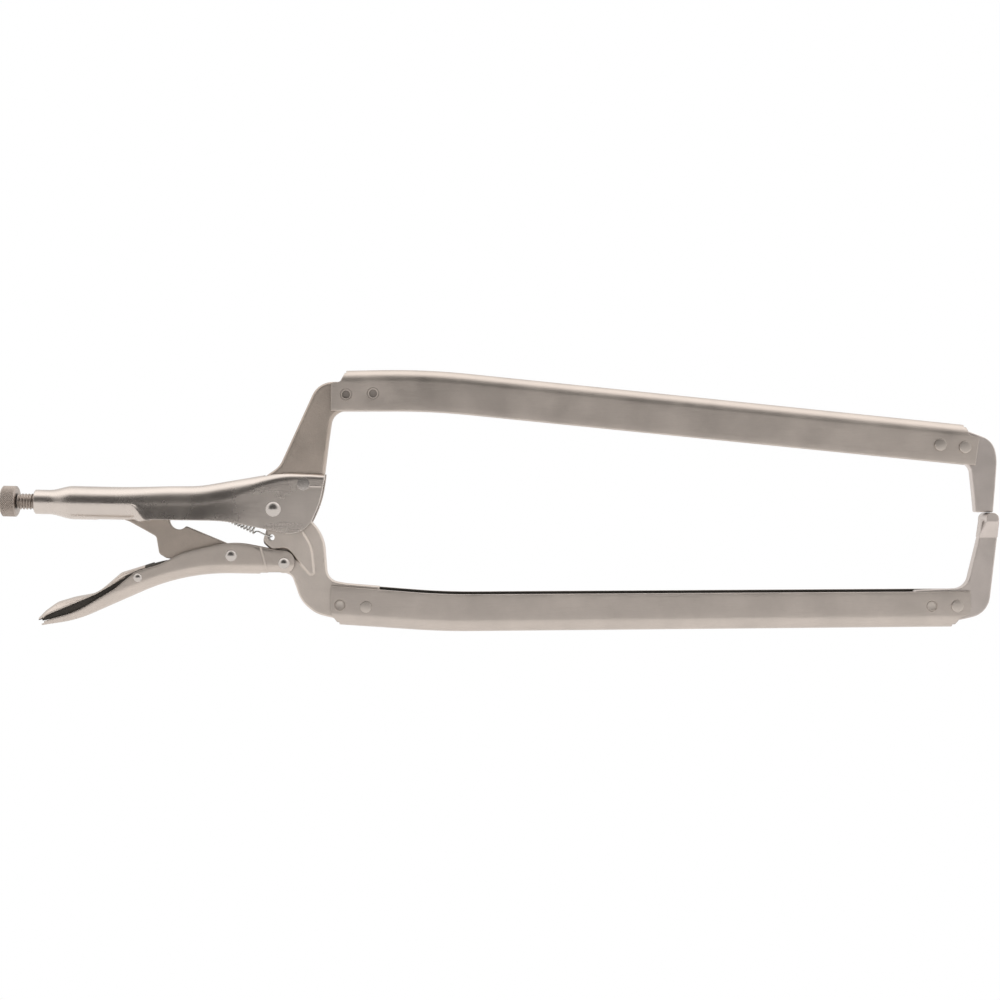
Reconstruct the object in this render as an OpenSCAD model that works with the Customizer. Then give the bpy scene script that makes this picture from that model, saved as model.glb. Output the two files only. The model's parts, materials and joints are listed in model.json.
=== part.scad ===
// Locking C clamp: two pressed-steel jaws with long riveted channel arms,
// closed by an over-centre toggle in a sheet-steel plier handle.
//
// Frame: X runs from the handle to the jaw tips, Z is up (the direction in
// which the jaws open) and Y is the thickness. The origin is the grip point,
// where the two closed tips meet on the mid-plane. Outlines are drawn around
// the main pivot and moved into this frame by placed().

/* [Jaws] */
// Distance from the main pivot to the grip point
reach = 438.5; // [437:0.5:440]
// Height of the main pivot above the grip point
pivot_rise = 2.1; // [1:0.1:3]
// Thickness of the forged jaw and tip plates
jaw_t = 8; // [7:0.1:8]
// Thickness of the jaw roots between the handle walls
boss_t = 10.4; // [9:0.1:10.4]
// Width of the lower tip's nose across the clamp
nose_w = 20.8; // [14:0.2:24]
// Radius of the lower tip's half-round nose
nose_r = 3.9; // [3:0.1:4]
// Gap left between the closed tips
tip_gap = 0.2; // [0.2:0.1:1]

/* [Channel arms] */
// Outside width of the channels
arm_w = 13; // [13:0.1:15]
// Sheet thickness of the channels
arm_sheet = 2.4; // [1.6:0.1:2.4]

/* [Handle] */
// Outside width of the flat-sided handle
handle_w = 16; // [16:0.2:18]
// Sheet thickness of the handle
handle_sheet = 2.6; // [2:0.1:2.6]
// Outside diameter of the rolled rear of the handle
tube_d = 20.5; // [19:0.5:22]
// Outside diameter of the swaged neck that holds the screw
neck_d = 15; // [14:0.5:17]

/* [Lever] */
// Outside width of the lever channel
lever_w = 14.4; // [14:0.1:15.6]
// Outside width of the lever's two ears
ear_w = 13; // [12.6:0.1:13.4]
// Sheet thickness of the lever
lever_sheet = 2; // [1.6:0.1:2]
// Thickness of the toggle link
link_t = 4.6; // [3:0.2:5]

/* [Adjusting screw] */
// Thread diameter
screw_d = 10; // [9:0.5:10]
// Diameter of the knurled knob
knob_d = 18.6; // [16:0.2:20]
// Length of the knurled knob
knob_l = 9.2; // [8:0.2:14]
// Visible thread between the knob and the handle's end
screw_out = 11; // [5:0.1:12]

/* [Spring] */
// Coil outside diameter
coil_d = 6.4; // [5:0.2:6.4]
// Wire diameter
wire_d = 1.2; // [0.8:0.1:1.4]

/* [Hidden] */
$fn = 64;
run = 0.05;           // radial clearance of a pin that turns in a hole
set = 0.02;           // radial clearance of a rivet that is set fast
snug = 0.1;           // side clearance of a plate held in a channel
through = 60;         // longer than any width that is cut through
arc_steps = 10;       // straight steps in each rounded corner

// Joint centres around the main pivot, as [x, z]
main_pivot = [0, 0];
jaw_root_rivet = [18.5, 15.3];
lever_pivot = [6.4, -33.2];
link_pivot = [-25.8, -28.5];
link_heel = [-101.1, 3.1];
release_pivot = [-82.8, -41.9];
spring_eye = [-1.5, -17.4];
spring_anchor = [-50, 5.2];
fixed_root_rivets = [[44.3, 70], [60.8, 70.6]];
fixed_tip_rivets = [[407.5, 39.2], [422.6, 37.8]];
movable_root_rivets = [[40.6, -58.7], [56.5, -59.9]];
movable_tip_rivets = [[402.3, -59.3], [417.9, -59.3]];

// Shank and head radii of the pins and rivets
main_pin_r = 3.2;
main_head_r = 4.65;
root_pin_r = 2.6;
root_head_r = 3.5;
lever_pin_r = 2.5;
lever_head_r = 3.4;
link_pin_r = 2.5;
link_head_r = 3.5;
release_pin_r = 1.8;
release_head_r = 2.65;
arm_pin_r = 2.4;
arm_head_r = 3.7;
eye_r = 2;

// The screw's axis passes through this [x, z] and rises to the rear
axis_at = [-100, 3.35];
axis_tilt = 1.3;
// Stations along that axis
neck_x = -147;
flare_start_x = -136.8;
flare_end_x = -125.4;
tube_end_x = -97;
slot_x = -110;
thread_end_x = -130;
heel_r = 5;
heel_travel = 3.7;    // room for the link's heel before the screw's end
screw_tip_x = link_heel.x - heel_r - heel_travel;
knob_x = neck_x - screw_out - knob_l;
stub_r = 3.4;
stub_l = 8;

// Nose faces on both sides of the grip point, seen from the main pivot
grip_z = -pivot_rise;
upper_nose_z = grip_z + tip_gap / 2;
lower_nose_z = grip_z - tip_gap / 2;

// ---- Outlines -----------------------------------------------------------

function unit(v) = v / norm(v);
function turn(a) = a > 180 ? a - 360 : a < -180 ? a + 360 : a;

// The arc that rounds the corner p between a and b with radius r.
function corner(a, p, b, r) =
    let (
        to_a = unit(a - p),
        to_b = unit(b - p),
        half = acos(to_a * to_b) / 2,
        centre = p + unit(to_a + to_b) * r / sin(half),
        from = p + to_a * r / tan(half) - centre,
        to = p + to_b * r / tan(half) - centre,
        start = atan2(from.y, from.x),
        sweep = turn(atan2(to.y, to.x) - start)
    )
    [for (i = [0:arc_steps])
        centre + r * [cos(start + sweep * i / arc_steps), sin(start + sweep * i / arc_steps)]];

// A closed outline from corners given as [x, z, radius].
function rounded(pts) =
    let (n = len(pts), at = [for (p = pts) [p.x, p.y]])
    [for (i = [0:n - 1])
        each pts[i][2] == 0
            ? [at[i]]
            : corner(at[(i + n - 1) % n], at[i], at[(i + 1) % n], pts[i][2])];

// ---- Shapes that repeat -------------------------------------------------

// Moves a piece drawn around the main pivot into the model's frame.
module placed() {
    translate([-reach, 0, pivot_rise]) children();
}

// A plate of the given outline, centred on the mid-plane.
module plate(outline, width) {
    rotate([90, 0, 0])
        linear_extrude(width, center = true)
            polygon(rounded(outline));
}

// A cylinder across the clamp at [x, z].
module across(at, r, length = through) {
    translate([at.x, 0, at.y])
        rotate([90, 0, 0])
            cylinder(r = r, h = length, center = true);
}

// A cylinder along the handle's axis, from x with the given length.
module along(x, r, length, end_r = -1) {
    translate([axis_at.x, 0, axis_at.y])
        rotate([0, axis_tilt, 0])
            translate([x - axis_at.x, 0, 0])
                rotate([0, 90, 0])
                    cylinder(r1 = r, r2 = end_r < 0 ? r : end_r, h = length);
}

// One domed rivet head that stands on z = 0.
module dome(r, height) {
    ball_r = (r * r + height * height) / (2 * height);
    rotate_extrude()
        intersection() {
            translate([0, height - ball_r]) circle(ball_r, $fn = 128);
            square([r, height]);
        }
}

// A rivet across the clamp with a head against each outer face.
module rivet(at, shank_r, head_r, head_h, grip) {
    across(at, shank_r, grip + 0.2);
    for (side = [0, 180])
        translate([at.x, 0, at.y])
            rotate([90, 0, 0])
                rotate([side, 0, 0])
                    translate([0, 0, grip / 2]) dome(head_r, head_h);
}

// ---- Fixed side ---------------------------------------------------------

handle_outline = [
    [tube_end_x - 6, 13.8, 0], [-46, 14, 70], [6, 22.8, 60], [31.4, 21.3, 1.5],
    [28.8, 4.5, 60], [18.8, -17.2, 15], [-30, -7.2, 100], [tube_end_x - 6, -6.6, 0]
];

module handle_tube() {
    along(neck_x, neck_d / 2, flare_start_x - neck_x);
    along(flare_start_x, neck_d / 2, flare_end_x - flare_start_x, tube_d / 2);
    along(flare_end_x, tube_d / 2, tube_end_x - flare_end_x);
}

module handle_cavity() {
    inside_w = handle_w - 2 * handle_sheet;
    web_drop = handle_sheet;
    plate([
        [slot_x, 13.8 - web_drop, 0], [-46, 14 - web_drop, 70],
        [6, 22.8 - web_drop, 60], [40, 20.8 - web_drop, 0], [40, -30, 0],
        [slot_x, -30, 0]
    ], inside_w);
    // the slot in the web through which the fixed jaw leaves the handle
    translate([-6, -jaw_t / 2 - snug, 0])
        cube([60, jaw_t + 2 * snug, 40]);
}

// A tab folded down from the web holds the rear end of the spring.
module spring_tab() {
    difference() {
        plate([[-54, 13, 0], [-46, 13, 0], [-46, 2, 3.5], [-54, 2, 3.5]], 2);
        across(spring_anchor, 1.6);
    }
}

module upper_handle() {
    color("silver") placed() {
        difference() {
            union() {
                handle_tube();
                plate(handle_outline, handle_w);
            }
            handle_cavity();
            along(thread_end_x, tube_d / 2 - handle_sheet, tube_end_x - thread_end_x + 4);
            along(neck_x - 1, screw_d / 2, thread_end_x - neck_x + 2);
            across(main_pivot, main_pin_r);
            across(jaw_root_rivet, root_pin_r);
        }
        spring_tab();
    }
}

fixed_jaw_outline = [
    [-4.5, 13, 2], [-5, 20.4, 2], [3.2, 26, 14], [27, 77.8, 14], [40.5, 78, 2],
    [44.5, 81.6, 3], [66, 82, 2], [66, 60.4, 1.5], [36, 60, 9], [33.2, 40, 60],
    [30.6, 19, 30], [25.5, -1.5, 4], [13, 9.6, 6]
];

module fixed_jaw() {
    root_pad = [
        [-4.3, 13.2, 2], [-4.3, 17.2, 1], [29.4, 17.2, 1], [25, -1.2, 4], [13, 9.8, 6]
    ];
    color("darkgray") placed()
        difference() {
            union() {
                plate(fixed_jaw_outline, jaw_t);
                plate(root_pad, boss_t);
            }
            across(jaw_root_rivet, root_pin_r);
            for (at = fixed_root_rivets) across(at, arm_pin_r);
        }
}

module fixed_arm() {
    outer = [
        [35, 60, 3], [35, 77.2, 1.5], [40.6, 77.8, 2], [44, 85, 1.5], [92, 85.8, 90],
        [424.2, 51.3, 1.2], [425.8, 45, 3], [431.4, 43.6, 1], [428.6, 27.3, 1],
        [96, 60.2, 90]
    ];
    inner = [
        [30, 50, 0], [30, 95, 0], [44.2, 95, 0], [44.2, 85 - arm_sheet, 0],
        [92, 85.8 - arm_sheet, 90], [423, 51.4 - arm_sheet, 0], [423, 70, 0],
        [440, 70, 0], [440, 15, 0], [96, 50, 0]
    ];
    color("darkgray") placed()
        difference() {
            plate(outer, arm_w);
            plate(inner, arm_w - 2 * arm_sheet);
            for (at = concat(fixed_root_rivets, fixed_tip_rivets)) across(at, arm_pin_r);
        }
}

module fixed_tip() {
    body = [
        [399, 49.9, 1.5], [426, 47.3, 4], [440.2, 42, 12], [442.9, 31, 30],
        [441.7, 14, 30], [440.4, upper_nose_z, 0.9], [429.6, upper_nose_z, 0.9],
        [428.7, 8, 30], [426.6, 28, 7], [412, 29.2, 10], [399, 31.2, 2]
    ];
    color("silver") placed()
        difference() {
            plate(body, jaw_t);
            for (at = fixed_tip_rivets) across(at, arm_pin_r);
        }
}

module fixed_jaw_rivet() {
    color("silver") placed()
        rivet(jaw_root_rivet, root_pin_r - set, root_head_r, 0.5, handle_w);
}

module fixed_arm_root_rivets() {
    color("silver") placed()
        for (at = fixed_root_rivets) rivet(at, arm_pin_r - set, arm_head_r, 0.7, arm_w);
}

module fixed_arm_tip_rivets() {
    color("silver") placed()
        for (at = fixed_tip_rivets) rivet(at, arm_pin_r - set, arm_head_r, 1.1, arm_w);
}

module main_pivot_rivet() {
    color("silver") placed()
        rivet(main_pivot, main_pin_r - set, main_head_r, 1.7, handle_w);
}

// ---- Movable side -------------------------------------------------------

hub_r = 9.5;
movable_jaw_outline = [
    [-hub_r, hub_r, hub_r - 0.1], [-hub_r, -6, 4], [-4.4, -12, 3], [-7, -20.4, 4],
    [-0.4, -25.6, 3], [0.8, -39.2, 5.5], [10.6, -39.4, 6], [16.4, -56.5, 20], [25.5, -64.2, 20],
    [46, -69.2, 8], [64.5, -69.6, 2], [64.5, -49.6, 2], [44, -48.4, 3], [32.4, -43.9, 8],
    [30.6, -16.5, 26], [20.5, -5, 6], [hub_r, -1, 4], [hub_r, hub_r, hub_r - 0.1]
];
boss_outline = [
    [-hub_r, hub_r, hub_r - 0.1], [-hub_r, -6, 4], [-4.4, -12, 3], [-7.4, -20.4, 4],
    [-1.4, -25.4, 2.5], [8.2, -24.6, 5], [25.7, -45.6, 2.4], [23.6, -22.5, 25],
    [13, -6, 4], [hub_r, -1, 4], [hub_r, hub_r, hub_r - 0.1]
];

module movable_jaw() {
    color("darkgray") placed()
        difference() {
            union() {
                plate(movable_jaw_outline, jaw_t);
                plate(boss_outline, boss_t);
            }
            across(main_pivot, main_pin_r + run - set);
            across(lever_pivot, lever_pin_r + run - set);
            across(spring_eye, eye_r);
            for (at = movable_root_rivets) across(at, arm_pin_r);
        }
}

module movable_arm() {
    outer = [
        [35.1, -47.4, 3], [35.1, -64, 3], [40, -71, 2], [104, -74.8, 120], [416, -72.1, 1.5],
        [419.8, -66.6, 3], [426, -64.4, 2], [426, -46.6, 3], [104, -51, 120], [48, -45.8, 10]
    ];
    inner = [
        [30, -40, 0], [30, -80, 0], [40, -80, 0], [40, arm_sheet - 71.4, 0],
        [104, arm_sheet - 74.8, 120], [415.4, arm_sheet - 72.1, 0], [415.4, -80, 0],
        [440, -80, 0], [440, -30, 0]
    ];
    color("darkgray") placed()
        difference() {
            plate(outer, arm_w);
            plate(inner, arm_w - 2 * arm_sheet);
            for (at = concat(movable_root_rivets, movable_tip_rivets)) across(at, arm_pin_r);
        }
}

// The lower tip widens across the clamp from its plate to a half-round nose.
module movable_tip() {
    foot_l = 15.3;
    flare_l = 9.8;
    base = lower_nose_z - foot_l;
    body = [
        [392, -68.8, 1.5], [420, -68, 8], [437.4, -64, 14], [442.9, base, 0],
        [441.4, lower_nose_z - 4, 3], [433.4, lower_nose_z - 4, 3], [431.8, base, 10],
        [424.2, -48.6, 9], [392, -49.8, 2]
    ];
    nose = [
        [431.6, base, 0], [443, base, 0], [reach + nose_r, lower_nose_z - nose_r - 2, 0],
        [reach + nose_r, lower_nose_z, nose_r - 0.05],
        [reach - nose_r, lower_nose_z, nose_r - 0.05],
        [reach - nose_r, lower_nose_z - nose_r - 2, 0]
    ];
    flare = [
        [-jaw_t / 2, 0], [-nose_w / 2, flare_l], [-nose_w / 2, foot_l],
        [nose_w / 2, foot_l], [nose_w / 2, flare_l], [jaw_t / 2, 0]
    ];
    color("silver") placed()
        difference() {
            union() {
                plate(body, jaw_t);
                intersection() {
                    plate(nose, nose_w);
                    translate([reach - 10, 0, base])
                        rotate([90, 0, 90])
                            linear_extrude(20) polygon(flare);
                }
            }
            for (at = movable_tip_rivets) across(at, arm_pin_r);
        }
}

module movable_arm_root_rivets() {
    color("silver") placed()
        for (at = movable_root_rivets) rivet(at, arm_pin_r - set, arm_head_r, 0.7, arm_w);
}

module movable_arm_tip_rivets() {
    color("silver") placed()
        for (at = movable_tip_rivets) rivet(at, arm_pin_r - set, arm_head_r, 0.7, arm_w);
}

// ---- Lever, link and release lever --------------------------------------

lever_outline = [
    [-143, -71, 0.8], [-121, -68, 70], [-54.8, -39, 130], [-4, -39.8, 1.5], [-4, -24, 1.5],
    [-26, -19.8, 50], [-55, -26.4, 50], [-70, -34, 30], [-84, -38, 12], [-97, -48.6, 30],
    [-120, -62.4, 60], [-143, -69.2, 0.3]
];

module lever() {
    ear_r = 6.2;
    inside_w = lever_w - 2 * lever_sheet;
    ears = [
        [-10, -38.4, 0], [lever_pivot.x + ear_r, lever_pivot.y - ear_r, ear_r - 0.05],
        [lever_pivot.x + ear_r, lever_pivot.y + ear_r, ear_r - 0.05], [-4, -25, 3], [-10, -24.2, 0]
    ];
    trough = [
        [-150, -60, 0], [-142, -71 + lever_sheet, 2], [-121, -68 + lever_sheet, 70],
        [-54.8, -39 + lever_sheet, 130], [-6, -39.8 + lever_sheet, 0], [-6, -10, 0], [-80, -10, 0]
    ];
    color("darkgray") placed()
        difference() {
            union() {
                plate(lever_outline, lever_w);
                plate(ears, ear_w);
            }
            plate(trough, inside_w);
            // the space between the ears, for the movable jaw
            translate([-9, -jaw_t / 2 - 2 * snug, -50])
                cube([30, jaw_t + 4 * snug, 40]);
            across(lever_pivot, lever_pin_r);
            across(link_pivot, link_pin_r);
            across(release_pivot, release_pin_r);
        }
}

module lever_pivot_rivet() {
    color("silver") placed()
        rivet(lever_pivot, lever_pin_r - set, lever_head_r, 1.4, ear_w);
}

module link_rivet() {
    color("silver") placed()
        rivet(link_pivot, link_pin_r - set, link_head_r, 1.3, lever_w);
}

module release_rivet() {
    color("silver") placed()
        rivet(release_pivot, release_pin_r - set, release_head_r, 1.1, lever_w);
}

module link() {
    notch = [-58.6, -6.6];
    notch_r = 6;
    bar = [
        [link_heel.x - heel_r, link_heel.y - heel_r, heel_r - 0.1], [-88.8, -7.7, 6],
        [-72.4, -16.8, 3], [-70.6, -27.4, 3], [-66.4, -30, 4], [-50, -33, 10],
        [link_pivot.x - 1, link_pivot.y - 6.6, 6], [link_pivot.x + 6.6, link_pivot.y - 3, 6],
        [link_pivot.x + 4, link_pivot.y + 6.4, 5], [-27, -21.9, 3], [-52.8, -11.2, 1.5],
        [-64.6, -6.9, 1.5], [link_heel.x + 6, link_heel.y + heel_r + 1.5, 5],
        [link_heel.x - heel_r, link_heel.y + heel_r, heel_r - 0.1]
    ];
    color("dimgray") placed()
        difference() {
            plate(bar, link_t);
            across(notch, notch_r);
            across(link_pivot, link_pin_r + run - set);
        }
}

// A crowned thumb pad, as wide as the lever, on a narrow hollow body inside it.
module release_lever() {
    pad_w = lever_w - 0.8;
    body_w = lever_w - 2 * lever_sheet - 0.8;
    body_sheet = 1.6;
    pad = [
        [-144.8, -66.8, 0.4], [-135, -57, 10], [-122, -53.6, 20], [-108, -51, 14],
        [-94, -39, 1.5], [-90.2, -41.6, 0.4], [-104, -52.6, 30], [-122, -59.6, 30],
        [-136, -64, 20]
    ];
    body = [
        [-138.4, -64.4, 0.3], [-134, -60.4, 4], [-120, -56, 20], [-104, -51.6, 12],
        [-96, -44.4, 2], [-91, -38.6, 2], [-67.6, -30.8, 1], [-68.6, -34.8, 1],
        [-76, -44, 3], [-92, -50.4, 10], [-118, -62.6, 40], [-134, -66.4, 2]
    ];
    hollow = [
        [-128, -70, 0], [-128, -61.4, 4], [-103, -54.6, 12], [-94, -46, 4], [-80, -39.4, 10],
        [-60, -33, 0], [-60, -80, 0]
    ];
    color("dimgray") placed() {
        difference() {
            plate(body, body_w);
            plate(hollow, body_w - 2 * body_sheet);
            across(release_pivot, release_pin_r + run - set);
        }
        plate(pad, pad_w);
    }
}

// ---- Adjusting screw ----------------------------------------------------

module adjusting_screw() {
    front_x = knob_x + knob_l;
    tip_chamfer = 1.2;
    color("gray") placed() {
        along(knob_x + knob_l - stub_l, stub_r, stub_l + 1);
        along(front_x + 0.1, screw_d / 2 - run, screw_tip_x - tip_chamfer - front_x - 0.1);
        along(screw_tip_x - tip_chamfer, screw_d / 2 - run, tip_chamfer, screw_d / 2 - tip_chamfer);
    }
}

module screw_knob() {
    chamfer = 0.9;
    color("darkgray") placed()
        difference() {
            union() {
                along(knob_x, knob_d / 2 - chamfer, chamfer, knob_d / 2);
                along(knob_x + chamfer, knob_d / 2, knob_l - 2 * chamfer);
                along(knob_x + knob_l - chamfer, knob_d / 2, chamfer, knob_d / 2 - chamfer);
            }
            along(knob_x + knob_l - stub_l - 0.1, stub_r + run, stub_l + 2);
        }
}

// ---- Spring -------------------------------------------------------------

// One wire between two points of the mid-plane, given as [x, z].
module wire(from, to) {
    step = to - from;
    translate([from.x, 0, from.y])
        rotate([0, atan2(step.x, step.y), 0])
            cylinder(d = wire_d, h = norm(step), $fn = 24);
}

// The coil's envelope is one hollow sleeve. A wire runs from each end of it to
// just short of the handle's tab and of the jaw's eye.
module jaw_spring() {
    aim = unit(spring_eye - spring_anchor);
    tab_gap = 4.8;
    eye_gap = 6.4;
    coil_start = spring_anchor + aim * 6;
    coil_l = 37;
    coil_end = coil_start + aim * coil_l;
    lap = 0.5;
    color("lightgray") placed() {
        translate([coil_start.x, 0, coil_start.y])
            rotate([0, atan2(aim.x, aim.y), 0])
                difference() {
                    cylinder(d = coil_d, h = coil_l);
                    translate([0, 0, wire_d])
                        cylinder(d = coil_d - 2 * wire_d, h = coil_l - 2 * wire_d);
                }
        wire(spring_anchor + aim * tab_gap, coil_start + aim * lap);
        wire(coil_end - aim * lap, spring_eye - aim * eye_gap);
    }
}

upper_handle();
fixed_jaw();
fixed_arm();
fixed_tip();
fixed_jaw_rivet();
fixed_arm_root_rivets();
fixed_arm_tip_rivets();
main_pivot_rivet();
movable_jaw();
movable_arm();
movable_tip();
movable_arm_root_rivets();
movable_arm_tip_rivets();
lever();
lever_pivot_rivet();
link_rivet();
release_rivet();
link();
release_lever();
adjusting_screw();
screw_knob();
jaw_spring();
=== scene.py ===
import json
import math

import bmesh
import bpy
from mathutils import Matrix, Vector


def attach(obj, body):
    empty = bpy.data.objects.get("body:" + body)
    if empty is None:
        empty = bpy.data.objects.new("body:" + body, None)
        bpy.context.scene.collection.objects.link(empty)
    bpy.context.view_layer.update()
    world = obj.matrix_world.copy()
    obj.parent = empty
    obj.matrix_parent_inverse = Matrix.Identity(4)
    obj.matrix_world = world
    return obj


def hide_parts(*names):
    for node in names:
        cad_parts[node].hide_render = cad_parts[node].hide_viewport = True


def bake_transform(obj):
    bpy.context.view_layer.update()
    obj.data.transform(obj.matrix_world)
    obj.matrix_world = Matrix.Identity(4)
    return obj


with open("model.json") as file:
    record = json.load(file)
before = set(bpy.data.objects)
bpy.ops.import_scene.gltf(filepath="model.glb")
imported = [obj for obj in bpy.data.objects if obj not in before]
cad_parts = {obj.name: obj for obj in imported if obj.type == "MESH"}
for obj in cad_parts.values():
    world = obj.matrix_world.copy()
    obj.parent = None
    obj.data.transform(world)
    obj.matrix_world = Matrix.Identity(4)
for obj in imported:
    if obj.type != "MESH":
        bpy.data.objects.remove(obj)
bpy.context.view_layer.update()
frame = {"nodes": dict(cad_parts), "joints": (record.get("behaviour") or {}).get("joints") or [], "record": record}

JOINTS = {joint["name"]: joint for joint in frame["joints"]}
PIVOT = Vector(JOINTS["jaw_open"]["pos_m"])
TO_FRAME = Matrix.Translation(PIVOT) @ Matrix.Scale(0.001, 4)

# Every piece is drawn in millimetres around the main pivot: x towards the jaw
# tips, y across the clamp (the camera is on the -y side) and z up.


def local(joint):
    """The [x, z] of a joint's axis, in millimetres around the main pivot."""
    place = (Vector(JOINTS[joint]["pos_m"]) - PIVOT) * 1000
    return place.x, place.z


# ---- Sizes ---------------------------------------------------------------

JAW_T = 8.0          # jaw and tip plates
BOSS_T = 10.4        # jaw root between the handle's walls
ARM_W = 13.0         # channel arms
ARM_SHEET = 2.4
ARM_BEND = 6.2       # how far the channels' folds reach across
ARM_FOLD = 7.4       # how far they reach down the walls
HANDLE_W = 16.0
HANDLE_SHEET = 2.6
TUBE_R = 10.25
NECK_R = 7.5
AXIS_AT = (-100.0, 3.35)     # the screw's axis passes here and rises to the rear
AXIS_TILT = math.radians(1.3)
NECK_X = -147.0      # the handle's rear end
FLARE_X = (-138.3, -123.5)
LEVER_W = 14.4
EAR_W = 13.0
LEVER_SHEET = 2.0
LEVER_BEND = 5.8
LINK_T = 4.6
THREAD_R = 4.95
THREAD_CORE_R = 4.1
THREAD_END_X = -109.8
PITCH = 2.0
KNOB_R = 9.5
KNOB_L = 9.2
SCREW_OUT = 11.0     # thread seen between the knob and the handle
KNOB_FRONT = NECK_X - SCREW_OUT
NOSE_W = 20.8
NOSE_R = 3.9
COIL_R = 3.2
WIRE_R = 0.45
REACH = -PIVOT.x * 1000
GRIP_Z = -PIVOT.z * 1000
TIP_GAP = 0.2

MAIN_PIVOT = (0.0, 0.0)
LEVER_PIVOT = local("lever_swing")
LINK_PIVOT = local("link_swing")
RELEASE_PIVOT = local("release_press")
JAW_RIVET = (18.5, 15.3)
LINK_HEEL = (-101.1, 3.1)
SPRING_EYE = (-1.5, -17.4)
SPRING_ANCHOR = (-50.0, 5.2)
FIXED_ROOT = [(44.3, 70.0), (60.8, 70.6)]
FIXED_TIP = [(407.5, 39.2), (422.6, 37.8)]
MOVABLE_ROOT = [(40.6, -58.7), (56.5, -59.9)]
MOVABLE_TIP = [(402.3, -59.3), (417.9, -59.3)]
PIN_HOLE_R = 2.4     # the holes of the arms' rivets


# ---- Outlines ------------------------------------------------------------

CORNER_STEPS = 10


def flat(corner):
    return Vector((corner[0], corner[1]))


def rounded(corners, steps=CORNER_STEPS):
    """A closed outline from corners given as (x, z, radius)."""
    points = []
    count = len(corners)
    for i, corner in enumerate(corners):
        here = flat(corner)
        radius = corner[2]
        if radius == 0:
            points.append(here)
            continue
        to_last = (flat(corners[i - 1]) - here).normalized()
        to_next = (flat(corners[(i + 1) % count]) - here).normalized()
        half = to_last.angle(to_next) / 2
        centre = here + (to_last + to_next).normalized() * radius / math.sin(half)
        start = here + to_last * radius / math.tan(half) - centre
        end = here + to_next * radius / math.tan(half) - centre
        turn = math.atan2(start.x * end.y - start.y * end.x, start.dot(end))
        for step in range(steps + 1):
            points.append(centre + Matrix.Rotation(turn * step / steps, 2) @ start)
    return points


def inset(corners, depth):
    """The corners of the same outline moved inwards, with the same number of points."""
    count = len(corners)
    area = sum(
        flat(corners[i - 1]).x * flat(corners[i]).y - flat(corners[i]).x * flat(corners[i - 1]).y
        for i in range(count)
    )
    side = 1 if area > 0 else -1
    moved = []
    for i, corner in enumerate(corners):
        here = flat(corner)
        along_last = (here - flat(corners[i - 1])).normalized()
        along_next = (flat(corners[(i + 1) % count]) - here).normalized()
        in_last = Vector((-along_last.y, along_last.x)) * side
        in_next = Vector((-along_next.y, along_next.x)) * side
        here = here + (in_last + in_next) * depth / (1 + in_last.dot(in_next))
        bulges = (along_last.x * along_next.y - along_last.y * along_next.x) * side > 0
        radius = corner[2] - depth if bulges else corner[2] + depth
        moved.append((here.x, here.y, max(radius, 0.05)))
    return moved


def height_on(path, x):
    """The height at x of an open rounded path that runs from left to right."""
    for first, second in zip(path, path[1:]):
        if first.x <= x <= second.x:
            share = (x - first.x) / max(second.x - first.x, 1e-9)
            return first.y + (second.y - first.y) * share
    return path[0].y if x < path[0].x else path[-1].y


def open_path(corners, steps=16):
    """An open path from corners given as (x, z, radius); its ends have radius 0."""
    return rounded(corners, steps)


# ---- Meshes --------------------------------------------------------------


def new_object(name, mesh_maker):
    """An object in millimetres around the main pivot, from a function that fills a bmesh."""
    mesh = bpy.data.meshes.new(name)
    work = bmesh.new()
    mesh_maker(work)
    bmesh.ops.remove_doubles(work, verts=work.verts, dist=0.002)
    bmesh.ops.dissolve_degenerate(work, edges=work.edges, dist=0.001)
    bmesh.ops.recalc_face_normals(work, faces=work.faces)
    work.to_mesh(mesh)
    work.free()
    made = bpy.data.objects.new(name, mesh)
    bpy.context.scene.collection.objects.link(made)
    return made


def loft(work, rings, closed=True, capped=True):
    """Joins rings of equal length with quads."""
    rows = [[work.verts.new(point) for point in ring] for ring in rings]
    count = len(rows[0])
    last = count if closed else count - 1
    for row, following in zip(rows, rows[1:]):
        for i in range(last):
            j = (i + 1) % count
            work.faces.new((row[i], row[j], following[j], following[i]))
    if capped:
        work.faces.new(rows[0])
        work.faces.new(list(reversed(rows[-1])))
    return rows


def bake(made):
    """Puts the result of an object's modifiers into its mesh."""
    graph = bpy.context.evaluated_depsgraph_get()
    mesh = bpy.data.meshes.new_from_object(made.evaluated_get(graph))
    old = made.data
    made.modifiers.clear()
    made.data = mesh
    bpy.data.meshes.remove(old)


def carve(made, cutter, operation="DIFFERENCE"):
    """Cuts, joins or clips one object with another, which is then removed."""
    change = made.modifiers.new("carve", "BOOLEAN")
    change.operation = operation
    change.object = cutter
    change.solver = "EXACT"
    bake(made)
    bpy.data.objects.remove(cutter)


def prism(name, outline, low, high, axis="Y"):
    """A straight block with an (x, z) outline, or (y, z) along X, or (x, y) along Z."""
    place = {
        "X": lambda p, t: (t, p.x, p.y),
        "Y": lambda p, t: (p.x, t, p.y),
        "Z": lambda p, t: (p.x, p.y, t),
    }[axis]
    rings = [[place(p, t) for p in outline] for t in (low, high)]
    return new_object(name, lambda work: loft(work, rings))


def block(low, high):
    """A rectangular cutter between two corners."""
    outline = [Vector((low[0], low[2])), Vector((high[0], low[2])),
               Vector((high[0], high[2])), Vector((low[0], high[2]))]
    return prism("cutter", outline, low[1], high[1])


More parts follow.
